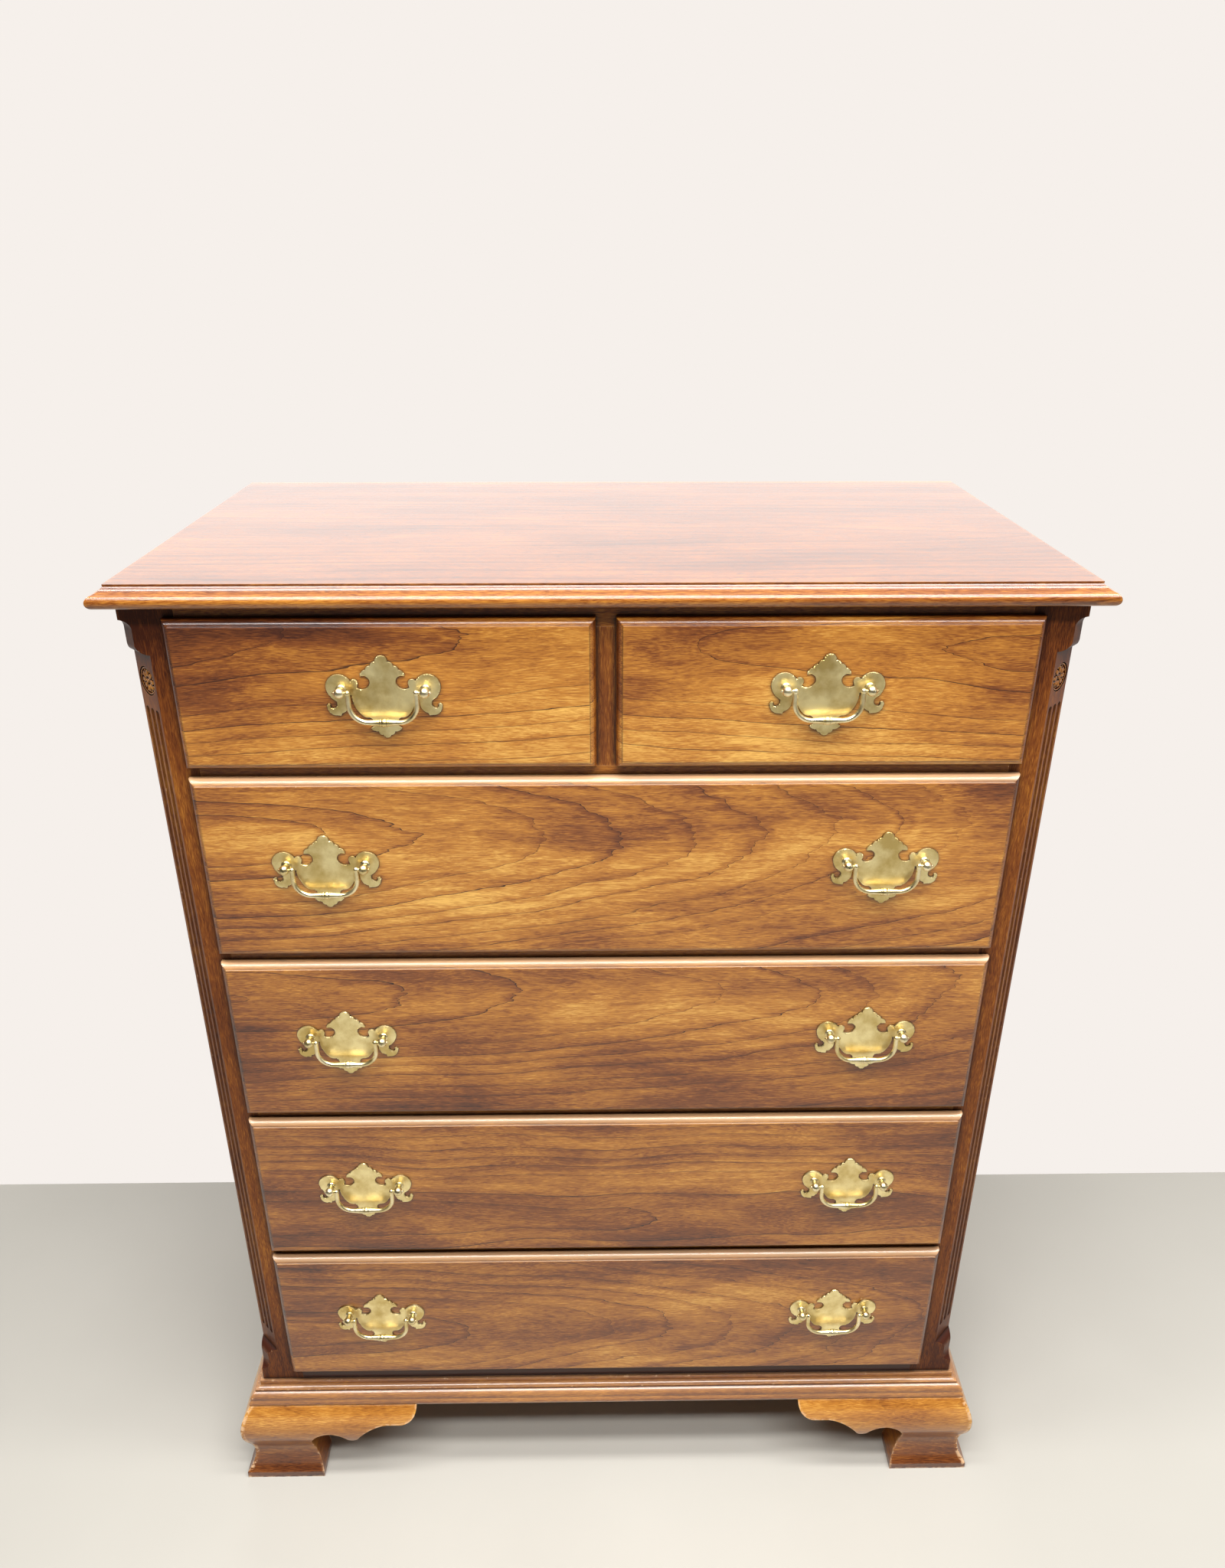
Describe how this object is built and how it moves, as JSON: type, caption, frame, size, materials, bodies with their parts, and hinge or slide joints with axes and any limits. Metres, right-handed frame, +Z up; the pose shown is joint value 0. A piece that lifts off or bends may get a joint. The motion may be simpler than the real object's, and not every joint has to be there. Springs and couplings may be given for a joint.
{
  "type": "chest of drawers",
  "caption": "Traditional cherry chest of drawers: small drawers over wide ones, lipped fronts, fluted canted corners, ogee bracket feet and swinging brass bail pulls.",
  "frame": {"origin": "on the floor, in the middle of the outer box", "axes": "+Z up, +X to the right of someone facing the drawers, +Y towards the back"},
  "size_m": [0.928, 0.5024, 1.1703],
  "materials": {
    "cherry": "stained cherry under satin lacquer",
    "poplar": "sanded, unfinished",
    "plywood": "sanded, unfinished",
    "brass": "aged satin brass"
  },
  "bodies": {
    "case": {"top_panel": "cherry", "side_panel_left": "cherry", "side_panel_right": "cherry", "corner_post_left": "cherry", "corner_post_right": "cherry", "rosettes": "cherry", "back_panel": "plywood", "top_rail": "cherry", "drawer_rails": "cherry", "bottom_rail": "cherry", "drawer_stile": "cherry", "drawer_runners": "poplar", "rear_rails": "poplar", "drawer_guides": "poplar", "base_moulding": "cherry", "foot_front_left": "cherry", "foot_front_right": "cherry", "foot_rear_left": "cherry", "foot_rear_right": "cherry"},
    "drawer_1": {"drawer_1_front": "cherry", "drawer_1_box": "poplar", "drawer_1_bottom": "plywood", "drawer_1_pull_plates": "brass", "drawer_1_pull_posts": "brass"},
    "drawer_1_bail": {"drawer_1_bail": "brass"},
    "drawer_2": {"drawer_2_front": "cherry", "drawer_2_box": "poplar", "drawer_2_bottom": "plywood", "drawer_2_pull_plates": "brass", "drawer_2_pull_posts": "brass"},
    "drawer_2_bail": {"drawer_2_bail": "brass"},
    "drawer_3": {"drawer_3_front": "cherry", "drawer_3_box": "poplar", "drawer_3_bottom": "plywood", "drawer_3_pull_plates": "brass", "drawer_3_pull_posts": "brass"},
    "drawer_3_bail_left": {"drawer_3_bail_left": "brass"},
    "drawer_3_bail_right": {"drawer_3_bail_right": "brass"},
    "drawer_4": {"drawer_4_front": "cherry", "drawer_4_box": "poplar", "drawer_4_bottom": "plywood", "drawer_4_pull_plates": "brass", "drawer_4_pull_posts": "brass"},
    "drawer_4_bail_left": {"drawer_4_bail_left": "brass"},
    "drawer_4_bail_right": {"drawer_4_bail_right": "brass"},
    "drawer_5": {"drawer_5_front": "cherry", "drawer_5_box": "poplar", "drawer_5_bottom": "plywood", "drawer_5_pull_plates": "brass", "drawer_5_pull_posts": "brass"},
    "drawer_5_bail_left": {"drawer_5_bail_left": "brass"},
    "drawer_5_bail_right": {"drawer_5_bail_right": "brass"},
    "drawer_6": {"drawer_6_front": "cherry", "drawer_6_box": "poplar", "drawer_6_bottom": "plywood", "drawer_6_pull_plates": "brass", "drawer_6_pull_posts": "brass"},
    "drawer_6_bail_left": {"drawer_6_bail_left": "brass"},
    "drawer_6_bail_right": {"drawer_6_bail_right": "brass"}
  },
  "joints": [
    {"name": "drawer_1_slide", "type": "slide", "parent": "case", "child": "drawer_1", "axis": [0, -1, 0], "range_m": [0, 0.32]},
    {"name": "drawer_1_bail_swing", "type": "hinge", "parent": "drawer_1", "child": "drawer_1_bail", "pos_m": [-0.20125, -0.24275, 1.0745], "axis": [-1, 0, 0], "range_deg": [-8, 160]},
    {"name": "drawer_2_slide", "type": "slide", "parent": "case", "child": "drawer_2", "axis": [0, -1, 0], "range_m": [0, 0.32]},
    {"name": "drawer_2_bail_swing", "type": "hinge", "parent": "drawer_2", "child": "drawer_2_bail", "pos_m": [0.20125, -0.24275, 1.0745], "axis": [-1, 0, 0], "range_deg": [-8, 160]},
    {"name": "drawer_3_slide", "type": "slide", "parent": "case", "child": "drawer_3", "axis": [0, -1, 0], "range_m": [0, 0.32]},
    {"name": "drawer_3_bail_left_swing", "type": "hinge", "parent": "drawer_3", "child": "drawer_3_bail_left", "pos_m": [-0.2725, -0.24275, 0.8935], "axis": [-1, 0, 0], "range_deg": [-8, 160]},
    {"name": "drawer_3_bail_right_swing", "type": "hinge", "parent": "drawer_3", "child": "drawer_3_bail_right", "pos_m": [0.2725, -0.24275, 0.8935], "axis": [-1, 0, 0], "range_deg": [-8, 160]},
    {"name": "drawer_4_slide", "type": "slide", "parent": "case", "child": "drawer_4", "axis": [0, -1, 0], "range_m": [0, 0.32]},
    {"name": "drawer_4_bail_left_swing", "type": "hinge", "parent": "drawer_4", "child": "drawer_4_bail_left", "pos_m": [-0.2725, -0.24275, 0.687], "axis": [-1, 0, 0], "range_deg": [-8, 160]},
    {"name": "drawer_4_bail_right_swing", "type": "hinge", "parent": "drawer_4", "child": "drawer_4_bail_right", "pos_m": [0.2725, -0.24275, 0.687], "axis": [-1, 0, 0], "range_deg": [-8, 160]},
    {"name": "drawer_5_slide", "type": "slide", "parent": "case", "child": "drawer_5", "axis": [0, -1, 0], "range_m": [0, 0.32]},
    {"name": "drawer_5_bail_left_swing", "type": "hinge", "parent": "drawer_5", "child": "drawer_5_bail_left", "pos_m": [-0.2725, -0.24275, 0.4805], "axis": [-1, 0, 0], "range_deg": [-8, 160]},
    {"name": "drawer_5_bail_right_swing", "type": "hinge", "parent": "drawer_5", "child": "drawer_5_bail_right", "pos_m": [0.2725, -0.24275, 0.4805], "axis": [-1, 0, 0], "range_deg": [-8, 160]},
    {"name": "drawer_6_slide", "type": "slide", "parent": "case", "child": "drawer_6", "axis": [0, -1, 0], "range_m": [0, 0.32]},
    {"name": "drawer_6_bail_left_swing", "type": "hinge", "parent": "drawer_6", "child": "drawer_6_bail_left", "pos_m": [-0.2725, -0.24275, 0.274], "axis": [-1, 0, 0], "range_deg": [-8, 160]},
    {"name": "drawer_6_bail_right_swing", "type": "hinge", "parent": "drawer_6", "child": "drawer_6_bail_right", "pos_m": [0.2725, -0.24275, 0.274], "axis": [-1, 0, 0], "range_deg": [-8, 160]}
  ]
}
